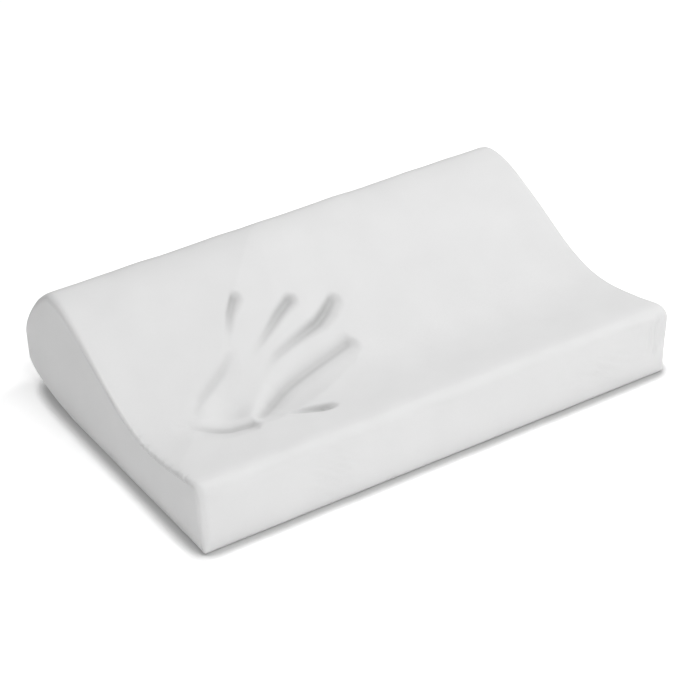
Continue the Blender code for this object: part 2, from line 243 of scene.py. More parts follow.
def bezier(points, spacing):
    corners = np.array(points)
    steps = max(3, math.ceil(np.linalg.norm(np.diff(corners, axis=0), axis=1).sum() / spacing))
    t = np.linspace(0, 1, steps + 1)[1:, None]
    weights = ((1 - t) ** 3, 3 * t * (1 - t) ** 2, 3 * t * t * (1 - t), t**3)
    return sum(w * c for w, c in zip(weights, corners))


def line(start, end, spacing):
    steps = max(1, round(math.dist(start, end) / spacing))
    return np.linspace(start, end, steps + 1)[1:]


def arc(centre, radius, first, last, spacing):
    steps = max(4, round(radius * abs(last - first) / spacing))
    angles = np.linspace(first, last, steps + 1)[1:]
    return np.column_stack([centre[0] + radius * np.cos(angles), centre[1] + radius * np.sin(angles)])


# Heights of the rows on the flat band: closer together at the seam and at the window's hems.
def bandHeights(s):
    half, window = s["zipBand"] / 2, s["windowHeight"] / 2
    steps = [seamLook["gap"] / 2 + step for step in seamLook["steps"]]
    steps += [window, window + 0.0003, window + 0.0009, window + 0.003, half]
    up = s["zipHeight"] + np.array(steps)
    return np.concatenate([2 * s["zipHeight"] - up[::-1], up])


def beside(point, run):
    return point[0] + run, point[1]


# Points (y, z): rearwards along the underside, up the rear, over the top and down the front.
def sideOutline(s):
    top, sides = meshSpacing["top"], meshSpacing["sides"]
    foot, radius = s["frontBaseRadius"], s["frontTopRadius"]
    start = frontY + foot + seamLook["gap"] / 2
    heel = (rearY - s["heelRun"], 0.0)
    bandLow, bandHigh = (s["zipHeight"] + side * s["zipBand"] / 2 for side in (-1, 1))
    crest = (rearY - s["crestSetback"], s["humpHeight"])
    valley = (frontY + s["valleySetback"], s["valleyHeight"])
    lobe = (frontY + s["lobeSetback"], s["frontHeight"])
    steps = seamLook["steps"]
    points = [np.array([(start + step, 0.0) for step in steps])]
    points.append(line((start + steps[-1], 0.0), heel, meshSpacing["base"]))
    heelPull = [heel, beside(heel, s["basePull"]), (rearY, bandLow - s["heelPull"]), (rearY, bandLow)]
    points.append(bezier(heelPull, sides * 1.3))
    points.append(np.array([(rearY, z) for z in bandHeights(s)[1:]]))
    band = (rearY, bandHigh)
    pulls = (
        (sides, band, (rearY, bandHigh + s["rearPull"]), beside(crest, s["crestRearPull"]), crest),
        (top, crest, beside(crest, -s["crestPull"]), beside(valley, s["valleyRearPull"]), valley),
        (top, valley, beside(valley, -s["valleyFrontPull"]), beside(lobe, s["lobePull"]), lobe),
    )
    points += [bezier(corners, spacing) for spacing, *corners in pulls]
    points.append(np.array([(frontY + radius, lobe[1])]))
    points.append(arc((frontY + radius, lobe[1] - radius), radius, math.pi / 2, math.pi, top))
    points.append(line((frontY, lobe[1] - radius), (frontY, foot), sides))
    turnIn = seamLook["gap"] / 2 / foot
    points.append(arc((frontY + foot, foot), foot, math.pi, 1.5 * math.pi - turnIn, 0.0007))
    return np.vstack(points)


def unit(vectors):
    return vectors / np.linalg.norm(vectors, axis=-1, keepdims=True)


def outwardNormals(points):
    ahead = unit(np.roll(points, -1, axis=0) - points)
    edgeNormals = np.column_stack([ahead[:, 1], -ahead[:, 0]])
    return unit(edgeNormals + np.roll(edgeNormals, 1, axis=0))


rows = sideOutline(pillowShape)
normals = outwardNormals(rows)
rowCount = len(rows)
girth = np.concatenate([[0], np.cumsum(np.linalg.norm(np.diff(rows, axis=0), axis=1))])
onRear = np.abs(rows[:, 0] - rearY) < 1e-6
offZip = np.where(onRear, np.abs(rows[:, 1] - pillowShape["zipHeight"]), 1.0)
topStart = int(np.argmax(onRear & (rows[:, 1] > pillowShape["zipHeight"])))
offFrontSeam = np.minimum(girth, np.linalg.norm(rows - (rows[0] + rows[-1]) / 2, axis=1))
zipHalf = -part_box("zip_coil_upper")[0].x + pillowShape["zipEndMargin"]
tapeHalf = -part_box("zip_tape_upper")[0].x

# Radius of the soft edge round each end, by place on the outline: at the left end and at the right.
edgeRounding = {
    "frontFace": (0.0085, 0.0042),
    "lobe": (0.0040, 0.0034),
    "valley": (0.0024, 0.0026),
    "slope": (0.0030, 0.0034),
    "crest": (0.0075, 0.0075),
    "rear": (0.0090, 0.0090),
    "base": (0.0045, 0.0045),
    "flare": (0.0006, 0.0046),  # how far the cover's front corner stands out at the end
    "flareAt": (0.058, 0.030),  # its middle's height and its half height
    "flareRun": 0.022,  # how far it reaches along the pillow and rearwards
}


def endRadii(e, end):
    y = rows[:, 0] - frontY
    depth = rearY - frontY
    places = [0, 0.02, 0.10, 0.55 * depth, 0.79 * depth, depth]
    stops = [e[key][end] for key in ("frontFace", "lobe", "valley", "slope", "crest", "rear")]
    topRadius = np.interp(y, places, stops)
    baseRadius = np.interp(y, [0, 0.25, depth], [e["base"][end], e["base"][end], e["rear"][end]])
    up = ramp(normals[:, 1] * 0.5 + 0.5)
    found = baseRadius * (1 - up) + topRadius * up
    isFront = ramp(-normals[:, 0] - 0.5, 0.5) * (y < 0.05)
    found = found * (1 - isFront) + e["frontFace"][end] * isFront
    # A rounding wider than the outline's own corner would fold the end over itself there.
    foot = pillowShape["frontBaseRadius"]
    clear = np.clip(rows[:, 1] - foot, 0, None) + np.clip(y - foot, 0, None)
    found = np.minimum(found, 0.7 * foot + 0.4 * clear)
    for _ in range(3):
        found = (np.roll(found, 1) + 2 * found + np.roll(found, -1)) / 4
    return found


radii = np.stack([endRadii(edgeRounding, end) for end in (0, 1)])


# The radius at the end that x is nearer to.
def radiusNear(x, row):
    return np.where(np.asarray(x) < 0, radii[0, row], radii[1, row])


# How far the front corners stand out along the pillow.
def flareOut(x, row):
    e = edgeRounding
    size = np.where(x < 0, e["flare"][0], e["flare"][1])
    middle, half = e["flareAt"]
    high = np.exp(-(((rows[row, 1] - middle) / half) ** 2))
    rearwards = np.exp(-np.clip((rows[row, 0] - frontY) / e["flareRun"], 0, None) ** 2)
    toEnd = ramp(1 - (halfLength - np.abs(x)) / e["flareRun"]) ** 2
    return np.sign(x) * size * high * rearwards * toEnd


# A hand pressed into the foam. Each crease runs from the palm to the tip through points, all in mm: x from
# the left end, y from the front, depth, and the widths of the walls on its left and on its right.
handPrint = {
    "cell": 0.8,
    "soften": 0.9,
    "heelOver": 18.0,  # how far a crease fades past its first point
    "tipOver": 10.0,
    "fullFold": 6.0,  # from this depth the bottom of a crease gets the full painted shade
    "foldWidth": 5.0,
    "sharpness": (1.7, 1.1),  # how the left and the right wall steepen towards the bottom
    "creases": {
        "little": [(131, 179, 0.8, 4, 4), (144, 198, 3.8, 4, 7), (155, 210, 5.0, 4, 10)],
        "ring": [(152, 161, 1.2, 5, 4), (167, 170, 3.0, 6, 5), (189, 184, 5.0, 7, 8), (204, 192, 5.6, 7, 10)],
        "middle": [
            (150, 140, 0.8, 6, 5),
            (163, 147, 2.4, 7, 6),
            (191, 156, 4.0, 8, 8),
            (218, 164, 6.4, 8, 12),
            (231, 171, 6.2, 7, 13),
            (243, 179, 4.8, 6, 12),
        ],
        "index": [
            (110, 84, 4.4, 12, 20),
            (118, 92, 7.2, 14, 28),
            (129, 101, 9.4, 17, 34),
            (145, 111, 10.0, 19, 38),
            (161, 118, 9.6, 20, 38),
            (182, 124, 8.6, 20, 34),
            (210, 130, 7.2, 18, 26),
            (232, 135, 5.6, 14, 17),
        ],
        "thumb": [(130, 72, 1.6, 4, 7), (146, 66, 4.4, 5, 11), (158, 61, 6.2, 6, 14), (164, 59, 5.6, 6, 13)],
        "palmEdge": [
            (62, 120, 1.8, 12, 16),
            (74, 131, 3.4, 12, 22),
            (88, 140, 4.2, 12, 24),
            (106, 150, 3.8, 11, 21),
            (122, 162, 1.6, 7, 11),
        ],
        "heel": [(50, 104, 2.4, 13, 18), (62, 95, 5.2, 15, 23), (78, 86, 6.6, 15, 24), (96, 79, 6.4, 13, 21)],
    },
    "hollows": [(106, 120, 34, 26, 4.2), (86, 104, 28, 20, 2.8)],  # x, y, half length, half width, depth
    "hollowTurn": math.radians(35),
}


# How the painted-shade mask fades off a crease's bottom line.
def shadeMaskFall(look, fall, width):
    return ramp(1 - (1 - fall) * width / look["foldWidth"])


# The depth of one crease, and a mask for painted shade: how close each place is to its bottom line.
def creaseField(look, gridX, gridY, points):
    depth, shadeMask = np.zeros_like(gridX), np.zeros_like(gridX)
    last = len(points) - 2
    for k, (a, b) in enumerate(zip(points, points[1:])):
        long = math.dist(a[:2], b[:2])
        u, v = (b[0] - a[0]) / long, (b[1] - a[1]) / long
        ahead = (gridX - a[0]) * u + (gridY - a[1]) * v
        aside = (gridY - a[1]) * u - (gridX - a[0]) * v
        share = ramp(ahead, long)
        bottom, left, right = (a[i] + (b[i] - a[i]) * share for i in (2, 3, 4))
        width = np.where(aside > 0, left, right)
        past, before = np.clip(ahead - long, 0, None), np.clip(-ahead, 0, None)
        past = past / (look["tipOver"] if k == last else width)
        before = before / (look["heelOver"] if k == 0 else width)
        fall = ramp(1 - np.sqrt((aside / width) ** 2 + past**2 + before**2))
        depth = np.maximum(depth, bottom * fall ** np.where(aside > 0, *look["sharpness"]))
        shadeMask = np.maximum(shadeMask, ramp(bottom / look["fullFold"]) * shadeMaskFall(look, fall, width))
    return depth, shadeMask


def printField(look):
    cell = look["cell"]
    size = (2 * halfLength / mm, (rearY - frontY) / mm)
    gridX, gridY = np.meshgrid(*(np.arange(0, side + cell, cell) for side in size), indexing="ij")
    depth, shadeMask = np.zeros_like(gridX), np.zeros_like(gridX)
    for points in look["creases"].values():
        deeper, closer = creaseField(look, gridX, gridY, points)
        depth, shadeMask = np.maximum(depth, deeper), np.maximum(shadeMask, closer)
    turn = look["hollowTurn"]
    for x, y, long, wide, bottom in look["hollows"]:
        u = ((gridX - x) * math.cos(turn) + (gridY - y) * math.sin(turn)) / long
        v = ((gridY - y) * math.cos(turn) - (gridX - x) * math.sin(turn)) / wide
        depth += bottom * np.exp(-1.6 * (u * u + v * v) ** 1.3)
    reach = int(3 * look["soften"] / cell)
    kernel = np.exp(-0.5 * (np.arange(-reach, reach + 1) * cell / look["soften"]) ** 2)
    kernel /= kernel.sum()
    for axis in (0, 1):
        depth, shadeMask = (np.apply_along_axis(np.convolve, axis, a, kernel, mode="same") for a in (depth, shadeMask))
    return depth, shadeMask


printDepth, printShadeMask = printField(handPrint)
print("hand print ready, deepest", round(float(printDepth.max()), 1), "mm")


def readGrid(grid, x, y, cell):
    u = np.clip(x / cell, 0, grid.shape[0] - 1.001)
    v = np.clip(y / cell, 0, grid.shape[1] - 1.001)
    i, j = u.astype(int), v.astype(int)
    u, v = u - i, v - j
    low = grid[i, j] * (1 - v) + grid[i, j + 1] * v
    high = grid[i + 1, j] * (1 - v) + grid[i + 1, j + 1] * v
    return low * (1 - u) + high * u


# The foam isn't perfectly true, and the cover is a little loose at the front.
surfaceRelief = {
    "waves": [  # amplitude in metres, waves per metre along x, y and z, phase
        (0.00022, 9, 4, 6, 0.3),
        (0.00016, -14, 11, 9, 1.9),
        (0.00010, 23, -17, 21, 4.1),
    ],
    "frontRipples": [  # depth, middle x and z, half length and half height
        (0.0005, -0.115, 0.034, 0.045, 0.024),
        (0.0005, 0.178, 0.030, 0.034, 0.015),
    ],
    "fray": [(0.00034, 4.6, 0.4), (0.00030, 7.3, 2.2), (0.00034, 15.0, 1.1)],  # depth, period in mm, phase
    "frayReach": (0.0045, 0.012, 0.150),  # from the left end, and from and to off the front
    "cornerFolds": [  # x, low z, high z, half width, depth at the right front corner
        (0.2315, 0.026, 0.064, 0.0026, 0.0009),
        (0.2372, 0.020, 0.066, 0.0022, 0.0012),
        (0.2418, 0.030, 0.060, 0.0018, 0.0008),
    ],
}


def relief(x, row):
    y, z = rows[row, 0], rows[row, 1]
    look = surfaceRelief
    total = np.zeros(np.broadcast(x, y).shape)
    facesDown = ramp(-normals[row, 1] - 0.2, 0.5)
    for size, alongX, alongY, alongZ, phase in look["waves"]:
        wave = np.sin(2 * math.pi * (alongX * x + alongY * y + alongZ * z) + phase)
        total = total + size * wave * (1 - facesDown)
    facesFront = ramp(-normals[row, 0] - 0.3, 0.5)
    for size, midX, midZ, long, high in look["frontRipples"]:
        u, v = (x - midX) / long, (z - midZ) / high
        swirl = np.sin(9 * (u * 0.8 + v) + 2.5 * np.sin(2.4 * u))
        total = total + facesFront * size * swirl * np.exp(-(u * u + v * v))
    # The cut edge of the foam at the left end is a little ragged.
    reach, first, last = look["frayReach"]
    off = y - frontY
    near = np.exp(-(((x + halfLength) / reach) ** 2)) * ramp(normals[row, 1], 0.5)
    near = near * ramp(off - first, 0.01) * ramp(last - off, 0.04)
    for size, period, phase in look["fray"]:
        total = total + near * size * (1 + np.sin(2 * math.pi * girth[row] / (period * mm) + phase))
    for midX, low, top, wide, deep in look["cornerFolds"]:
        lean = 0.06 * (z - low)
        ends = ramp(z - low, 0.008) * ramp(top - z, 0.008)
        total = total + facesFront * deep * ends * np.exp(-(((x - midX - lean) / wide) ** 2))
    return total


def facesUp(row):
    return ramp(normals[row, 1] - 0.2, 0.3)


# How far the print, the unevenness and the seams set a layer's point back, in metres.
def setBack(x, row, depth):
    place = ((x + halfLength) / mm, (rows[row, 0] - frontY) / mm)
    total = mm * facesUp(row) * readGrid(printDepth, *place, handPrint["cell"]) + relief(x, row)
    share = ramp(1 - 0.7 * depth / layers["coverThickness"])
    plain = ramp(np.abs(x) - zipHalf, seamLook["plainFrom"])
    for away, where in ((offZip[row], plain), (offFrontSeam[row], 1)):
        away = ramp(away - seamLook["gap"] / 2)
        total = total + share * where * seamLook["sink"] * np.exp(-away / seamLook["reach"])
    outside = np.maximum(offZip[row] - pillowShape["windowHeight"] / 2, np.abs(x) - zipHalf)
    hem = np.exp(-ramp(outside) / seamLook["hemReach"]) * ((outside > -1e-5) & (offZip[row] < 1))
    total = total + share * seamLook["hemSink"] * hem * (1 - plain)
    if depth >= layers["liner"]:
        blend = layers["dentBlend"]
        past = ramp(tapeHalf + blend - np.abs(x), blend)
        behindTape = past * ramp(pillowShape["zipBand"] / 2 + blend - offZip[row], blend)
        behindSlider = past * ramp(pillowShape["windowHeight"] / 2 + 0.001 - offZip[row], 0.0007)
        extra = layers["channelDent"] - layers["tapeDent"]
        total = total + layers["tapeDent"] * behindTape + extra * behindSlider
    return total


# Points of a layer at this depth. turn goes round the soft end edge: 0 on the wrap, 90 degrees on the end.
def layerPoint(row, x, turn, depth, sink=0.0):
    centre = np.maximum(radiusNear(x, row), depth + layers["leastRadius"])
    radius = centre - depth - sink
    side = np.sign(x)
    across = np.where(turn > 0, side * (halfLength - centre + radius * np.sin(turn)), x)
    inset = np.where(turn > 0, centre - radius * np.cos(turn), depth) + setBack(across, row, depth)
    y = rows[row, 0] - normals[row, 0] * inset
    z = rows[row, 1] - normals[row, 1] * inset
    return np.stack([across + flareOut(across, row), y, z], axis=-1)


def seamSink(away, depth):
    share = max(0.0, 1 - 0.7 * depth / layers["coverThickness"])
    return share * seamLook["sink"] * np.exp(-away / seamLook["reach"])


# Places along the pillow from -1 to 1, closer together where the hand print and the corner's folds are.
def stationsAlong():
    printEnd, folds = -halfLength + meshSpacing["printRun"], halfLength - meshSpacing["foldRun"]
    wide, fine = meshSpacing["along"], meshSpacing["alongPrint"]
    spans = ((-halfLength, printEnd, fine), (printEnd, folds, wide), (folds, halfLength, fine * 0.75))
    found = [np.array([-halfLength])] + [line((a,), (b,), step)[:, 0] for a, b, step in spans]
    hems = [side * (zipHalf + step) for side in (-1, 1) for step in (0.0, 0.0003, 0.0009)]
    merged = np.concatenate(found)
    for hem in hems:
        merged[int(np.argmin(np.abs(merged - hem)))] = hem
    return np.sort(merged) / halfLength


along = stationsAlong()


def wrapGrid(rowIndex, depth):
    r = np.array(rowIndex)[:, None]
    steps = np.array(seamLook["steps"])
    sink = np.append(seamSink(steps, depth), 0.0)[None]
    edges, starts = [], []
    for side in (-1.0, 1.0):
        turns = seamLook["turn"] - (steps[None] + seamLook["gap"] / 2) / radiusNear(side, r)
        turns = np.concatenate([turns, turns[:, -1:] * 0.5], axis=1)
        index = np.repeat(r, turns.shape[1], 1)
        edges.append(layerPoint(index, np.full(turns.shape, side), turns, depth, sink))
        starts.append(halfLength - np.maximum(radiusNear(side, r), depth + layers["leastRadius"]))
    still = zipHalf + 0.002  # stations nearer the middle than this stay where they are
    past = (np.abs(along)[None] * halfLength - still) / (halfLength - still)
    start = np.where(along[None] < 0, *starts)
    x = np.where(past > 0, still + past * (start - still), np.abs(along)[None] * halfLength) * np.sign(along)
    middle = layerPoint(np.repeat(r, len(along), 1), x, np.zeros(x.shape), depth)
    return np.concatenate([edges[0], middle, edges[1][:, ::-1]], axis=1)


# Rings from the end seam to a spine in the middle of the end face, which is slightly crowned.
endFace = {
    "rings": 8,
    "crown": 0.0012,
    "spineEnds": (0.045, 0.075),  # off the front and off the rear
    "spineStep": 0.008,
    "spineBend": 0.12,  # off the front and off the rear
    "spineHeights": (0.030, 0.028, 0.044, 0.056),  # at its front end, its two bends and its rear end
}


def endGrid(side, depth):
    r = np.arange(rowCount)[:, None]
    steps = np.array(seamLook["steps"])
    turns = seamLook["turn"] + (steps[None] + seamLook["gap"] / 2) / radiusNear(side, r)
    rest = turns[:, -1:] + (math.pi / 2 - turns[:, -1:]) * np.linspace(0, 1, 4)[None, 1:]
    turns = np.concatenate([turns, rest], axis=1)
    sink = np.append(seamSink(steps, depth), [0.0] * 3)[None]
    index = np.repeat(r, turns.shape[1], 1)
    edge = layerPoint(index, np.full(turns.shape, float(side)), turns, depth, sink)
    rim = edge[:, -1]
    low, high = frontY + endFace["spineEnds"][0], rearY - endFace["spineEnds"][1]
    spineY = np.clip(rim[:, 1], low, high)
    spineY = low + np.round((spineY - low) / endFace["spineStep"]) * endFace["spineStep"]
    bends = (low, frontY + endFace["spineBend"], rearY - endFace["spineBend"], high)
    spineZ = np.interp(spineY, bends, endFace["spineHeights"])
    spineX = side * (halfLength - depth + endFace["crown"])
    spine = np.stack([np.full(rowCount, spineX), spineY, spineZ], axis=-1)
    shares = np.linspace(0, 1, endFace["rings"] + 1)[1:][None, :, None]
    inner = rim[:, None] * (1 - shares) + spine[:, None] * shares
    crowned = 1 - (1 - shares[..., 0]) ** 2
    inner[:, :, 0] = rim[:, None, 0] * (1 - crowned) + spineX * crowned
    return np.concatenate([edge, inner], axis=1)


def meshObject(name, points, faces, material, sharpAngle=50, place=None):
    mesh = bpy.data.meshes.new(name)
    mesh.from_pydata(np.asarray(points).tolist(), [], [list(face) for face in faces])
    if place is not None:
        attribute = mesh.attributes.new("clothPlace", "FLOAT_VECTOR", "POINT")
        attribute.data.foreach_set("vector", place.astype(np.float32).ravel())
    bm = bmesh.new()
    bm.from_mesh(mesh)
    bmesh.ops.delete(bm, geom=[v for v in bm.verts if not v.link_faces], context="VERTS")
    bmesh.ops.remove_doubles(bm, verts=bm.verts, dist=1e-6)
    bmesh.ops.recalc_face_normals(bm, faces=bm.faces)
    bm.to_mesh(mesh)
    bm.free()
    mesh.shade_smooth()
    mesh.set_sharp_from_angle(angle=math.radians(sharpAngle))
    mesh.materials.append(material)
    return addToScene(bpy.data.objects.new(name, mesh))


def gridQuads(rowTotal, columns, closed, keep=None):
    i, j = np.meshgrid(np.arange(rowTotal if closed else rowTotal - 1), np.arange(columns - 1), indexing="ij")
    k = (i + 1) % rowTotal
    quads = np.stack([i * columns + j, i * columns + j + 1, k * columns + j + 1, k * columns + j], -1)
    return quads.reshape(-1, 4) if keep is None else quads[keep]


# Cloth coordinates of a grid, for the knit: along its rows from the middle and round the pillow, in metres,
# and a mask for painted shade: how close each point is to the bottom of a crease.
def placeOnCloth(grid, rowIndex):
    run = np.linalg.norm(np.diff(grid, axis=1), axis=2)
    run = np.concatenate([np.zeros((len(run), 1)), np.cumsum(run, axis=1)], axis=1)
    run -= run[:, -1:] / 2
    around = np.broadcast_to(girth[np.array(rowIndex)][:, None], run.shape)
    x, y = (grid[..., 0] + halfLength) / mm, (grid[..., 1] - frontY) / mm
    shadeMask = readGrid(printShadeMask, x, y, handPrint["cell"])
    return np.stack([run, around, shadeMask * facesUp(np.array(rowIndex))[:, None]], axis=-1)


# A cloth between two matching grids of points, less the cells that keep leaves out.
def clothBetween(name, outer, inner, material, place, closed=False, keep=None, spine=False):
    rowTotal, columns = outer.shape[:2]
    count = rowTotal * columns
    quads = gridQuads(rowTotal, columns, closed, keep)
    edges = np.concatenate([quads[:, [i, (i + 1) % 4]] for i in range(4)])
    _, index, uses = np.unique(np.sort(edges, axis=1), axis=0, return_inverse=True, return_counts=True)
    border = edges[uses[index.reshape(-1)] == 1]
    if spine:  # the last column, where the two halves meet
        border = border[(border % columns < columns - 1).all(axis=1)]
    rim = np.column_stack([border[:, 1], border[:, 0], border[:, 0] + count, border[:, 1] + count])
    faces = np.concatenate([quads, quads[:, ::-1] + count, rim])
    points = np.concatenate([outer.reshape(-1, 3), inner.reshape(-1, 3)])
    return meshObject(name, points, faces, material, place=np.tile(place.reshape(-1, 3), (2, 1)))


# A texture's inputs for a pattern this many mm across, at the places that spot gives.
def sized(spot, size, **others):
    return {"Vector": spot, "Scale": 1 / (size * mm), **others}


# Finishes a surface. Its bumps are heights and depths in mm, the lowest first. The share runs between two
# colours, and it or roughShare between two roughnesses, because nothing woven, moulded or cast is even.
def finishSurface(tree, shader, look, bumps, share, roughness, roughShare=None):
    below = {}
    for height, depth in bumps:
        below = {"Normal": addNode(tree, "Bump", {"Height": height, "Distance": depth * mm, **below})}
    tree.links.new(below["Normal"], shader.inputs["Normal"])
    blend = addNode(tree, "MapRange", {"Value": share, "From Min": 0.3, "From Max": 0.7})
    colours = {"Factor": blend, "A": rgba(look["shadeColour"]), "B": rgba(look["colour"])}
    colour = addNode(tree, "Mix", colours, "Result", data_type="RGBA")
    tree.links.new(colour, shader.inputs["Base Color"])
    ends = {"Value": roughShare or share, "To Min": roughness[0], "To Max": roughness[1]}
    tree.links.new(addNode(tree, "MapRange", ends), shader.inputs["Roughness"])
    return colour


# V shapes side by side, each this many mm wide: 0.5 at its edges and 0 in its middle.
def foldedSteps(tree, value, spacing):
    steps = (("MULTIPLY", 1 / (spacing * mm)), ("FRACT", 0), ("SUBTRACT", 0.5), ("ABSOLUTE", 0))
    for operation, number in steps:
        value = addNode(tree, "Math", {0: value, 1: number}, operation=operation)
    return value


# A wave from -1 to 1 for each step of one in the value, times how often.
def waveOf(tree, value, often=1):
    value = addNode(tree, "Math", {0: value, 1: 2 * math.pi * often}, operation="MULTIPLY")
    return addNode(tree, "Math", {0: value}, operation="SINE")


# Close polyester knits: matte, with a faint fuzz at glancing angles. Sizes are in mm.
coverKnit = {
    "colour": "#e3e3e3",
    "shadeColour": "#dfdfdf",
    "waleSpacing": 1.5,  # really 0.6, drawn coarser so that it can be seen at all
    "courseSpacing": 1.1,  # really 0.45
    "stitchDepth": 0.022,
    "fuzzSize": 0.9,
    "fuzzDepth": 0.03,
    "unevenSize": 42.0,
    "unevenDepth": 0.12,
    "sheen": 0.08,
    # the last three set the painted shade in hollows and along the creases' bottoms
    "foldReach": 0.020,
    "foldShade": 1.3,
    "pinchShade": 0.23,
}
linerKnit = {
    "colour": "#e6e6e6",
    "shadeColour": "#dadada",
    "waleSpacing": 1.0,
    "courseSpacing": 0.8,
    "stitchDepth": 0.05,
    "fuzzSize": 0.7,
    "fuzzDepth": 0.02,
    "unevenSize": 30.0,
    "unevenDepth": 0.10,
    "sheen": 0.15,
    # the last three set the painted shade in hollows and along the creases' bottoms
    "foldReach": 0.016,
    "foldShade": 1.0,
    "pinchShade": 0.2,
}


# Rows of V-shaped stitches lean on each other in columns, under a short fuzz that softens every highlight.
def knittedPolyester(name, look):
    sockets = {"Sheen Weight": look["sheen"], "Sheen Roughness": 0.5, "Specular IOR Level": 0.2}
    material, tree, shader = newMaterial(name, look["colour"], 0.86, **sockets)
    place = addNode(tree, "Attribute", {}, "Vector", attribute_name="clothPlace")
    axes = addNode(tree, "SeparateXYZ", {0: place}).node.outputs
    wale = foldedSteps(tree, axes["X"], look["waleSpacing"])
    courses = {0: axes["Y"], 1: 1 / (look["courseSpacing"] * mm), 2: wale}
    chevron = waveOf(tree, addNode(tree, "Math", courses, operation="MULTIPLY_ADD"))
    groove = addNode(tree, "Math", {0: wale, 1: 3.0}, operation="POWER")
    stitch = addNode(tree, "Math", {0: groove, 1: -12.0, 2: chevron}, operation="MULTIPLY_ADD")
    spot = addNode(tree, "TexCoord", {}, "Object")
    uneven = addNode(tree, "TexNoise", sized(spot, look["unevenSize"], Detail=2.0, Roughness=0.4))
    fuzz = addNode(tree, "TexNoise", sized(spot, look["fuzzSize"], Detail=3.0))
    blend = addNode(tree, "Math", {0: fuzz, 1: 0.4}, operation="MULTIPLY")
    blend = addNode(tree, "Math", {0: uneven, 1: 0.6, 2: blend}, operation="MULTIPLY_ADD")
    heights = ((uneven, "unevenDepth", 1), (stitch, "stitchDepth", 0.5), (fuzz, "fuzzDepth", 1))
    bumps = [(height, look[depth] * part) for height, depth, part in heights]
    colour = finishSurface(tree, shader, look, bumps, blend, (0.80, 0.92), fuzz)
    # Painted shade: ambient occlusion darkens the colour in hollows, and the crease mask darkens it most
    # along the bottoms of the hand print's creases.
    reach = {"Distance": look["foldReach"]}
    near = addNode(tree, "AmbientOcclusion", reach, "AO", samples=8, only_local=True)
    light = addNode(tree, "Math", {0: near, 1: look["foldShade"]}, operation="POWER")
    creaseShade = {0: axes["Z"], 1: -look["pinchShade"], 2: 1.0}
    creaseShade = addNode(tree, "Math", creaseShade, operation="MULTIPLY_ADD")
    light = addNode(tree, "Math", {0: light, 1: creaseShade}, operation="MULTIPLY")
    shaded = addNode(tree, "VectorMath", {0: colour, 3: light}, operation="SCALE")
    tree.links.new(shaded, shader.inputs["Base Color"])
    return material


# Moulded polyurethane memory foam: dull and faintly cream, its skin pitted by open cells.
def mouldedMemoryFoam(look):
    material, tree, shader = newMaterial("mouldedMemoryFoam", look["colour"], 0.9)
    shader.inputs["Specular IOR Level"].default_value = 0.25
    spot = addNode(tree, "TexCoord", {}, "Object")
    cells = addNode(tree, "TexVoronoi", sized(spot, look["cellSize"]), "Distance")
    pits = addNode(tree, "Math", {0: cells, 1: 0.35}, operation="MINIMUM")
    skin = addNode(tree, "TexNoise", sized(spot, look["skinSize"], Detail=3.0))
    bumps = ((skin, look["skinDepth"]), (pits, look["cellDepth"]))
    finishSurface(tree, shader, look, bumps, skin, (0.82, 0.95), pits)
    return material


# Spun polyester thread: two plies twisted together, which catch the light in slanting bands.
def spunPolyesterThread(look):
    material, tree, shader = newMaterial("spunPolyesterThread", look["colour"], 0.6)
    shader.inputs["Sheen Weight"].default_value = 0.2
    spot = addNode(tree, "TexCoord", {}, "Object")
    twist = sized(spot, look["twist"], Distortion=1.5, Detail=1.0)
    ply = addNode(tree, "TexWave", twist, "Fac", bands_direction="DIAGONAL")
    fibre = addNode(tree, "TexNoise", sized(spot, look["fibreSize"]))
    bumps = ((fibre, look["plyDepth"] / 2), (ply, look["plyDepth"]))
    finishSurface(tree, shader, look, bumps, fibre, (0.5, 0.7), ply)
    return material


# Woven polyester zip tape: a close herringbone of flat bands, matte.
def wovenPolyesterTape(look):
    material, tree, shader = newMaterial("wovenPolyesterTape", look["colour"], 0.8)
    shader.inputs["Specular IOR Level"].default_value = 0.3
    spot = addNode(tree, "TexCoord", {}, "Object")
    axes = addNode(tree, "SeparateXYZ", {0: spot}).node.outputs
    slant = foldedSteps(tree, axes["Z"], look["ribSpacing"])
    picks = {0: axes["X"], 1: 1 / (look["pickSpacing"] * mm), 2: slant}
    weave = waveOf(tree, addNode(tree, "Math", picks, operation="MULTIPLY_ADD"))
    fuzz = addNode(tree, "TexNoise", sized(spot, look["fuzzSize"]))
    bumps = ((fuzz, look["weaveDepth"] / 2), (weave, look["weaveDepth"] / 2))
    finishSurface(tree, shader, look, bumps, weave, (0.72, 0.88), fuzz)
    return material


# Drawn nylon filament, coiled and heat set: satin, slightly see-through at its edges.
def drawnNylonCoil(look):
    sockets = {"IOR": 1.53, "Subsurface Weight": 0.15, "Subsurface Scale": 0.0006}
    material, tree, shader = newMaterial("drawnNylonCoil", look["colour"], 0.4, **sockets)
    spot = addNode(tree, "TexCoord", {}, "Object")
    drawn = addNode(tree, "TexNoise", sized(spot, look["markSize"]))
    finishSurface(tree, shader, look, [(drawn, look["markDepth"])], drawn, (0.32, 0.46))
    return material


# Die-cast zinc with barrelled nickel plate: bright, slightly orange-peeled, with soft smudges.
def nickelPlatedZinc(look):
    material, tree, shader = newMaterial("nickelPlatedZinc", look["colour"], 0.25, Metallic=1.0)
    spot = addNode(tree, "TexCoord", {}, "Object")
    peel = addNode(tree, "TexNoise", sized(spot, look["peelSize"]))
    sizes = sized(spot, look["smudgeSize"], Detail=3.0, Roughness=0.6)
    smudge = addNode(tree, "TexNoise", sizes)
    finishSurface(tree, shader, look, [(peel, look["peelDepth"])], smudge, (0.18, 0.38))
    return material


